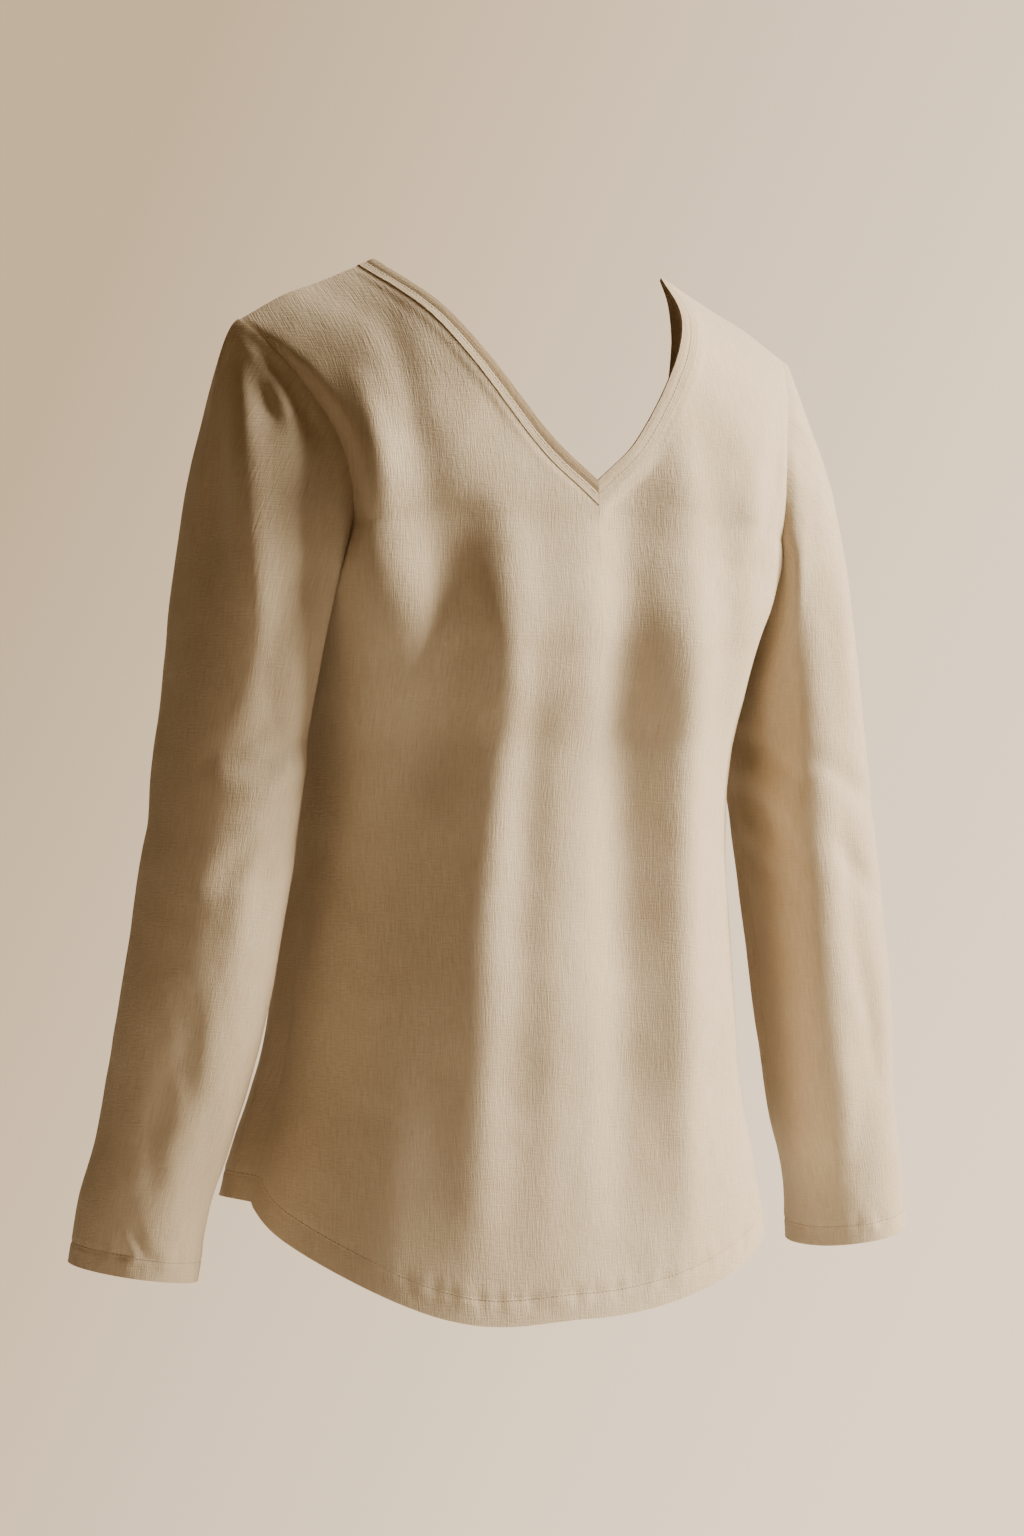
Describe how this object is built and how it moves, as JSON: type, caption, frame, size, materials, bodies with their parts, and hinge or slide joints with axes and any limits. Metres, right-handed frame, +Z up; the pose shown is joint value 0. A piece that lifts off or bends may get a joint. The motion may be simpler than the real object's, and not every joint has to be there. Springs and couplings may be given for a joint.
{
  "type": "v-neck blouse",
  "caption": "Hip-length V-neck blouse in sand-beige linen-like cloth with long set-in sleeves and a narrow neckband, filled out as when worn",
  "frame": {"origin": "midway between the two neck points, on top of the shoulders, where the wearer's shoulders hold the blouse up", "axes": "+X to the wearer's left, -Y to the front, +Z up"},
  "size_m": [0.5662, 0.2559, 0.6328],
  "materials": {
    "front_right_cloth": "brushed matt cloth",
    "front_left_cloth": "brushed matt cloth",
    "back_cloth": "brushed matt cloth",
    "sleeve_right_cloth": "brushed matt cloth",
    "sleeve_left_cloth": "brushed matt cloth",
    "band_right_cloth": "brushed matt cloth",
    "band_left_cloth": "brushed matt cloth",
    "band_back_cloth": "brushed matt cloth"
  },
  "bodies": {
    "root": {"front_right": "front_right_cloth", "front_left": "front_left_cloth", "back": "back_cloth", "sleeve_right": "sleeve_right_cloth", "sleeve_left": "sleeve_left_cloth", "neckband_front_right": "band_right_cloth", "neckband_front_left": "band_left_cloth", "neckband_back": "band_back_cloth"}
  },
  "joints": []
}
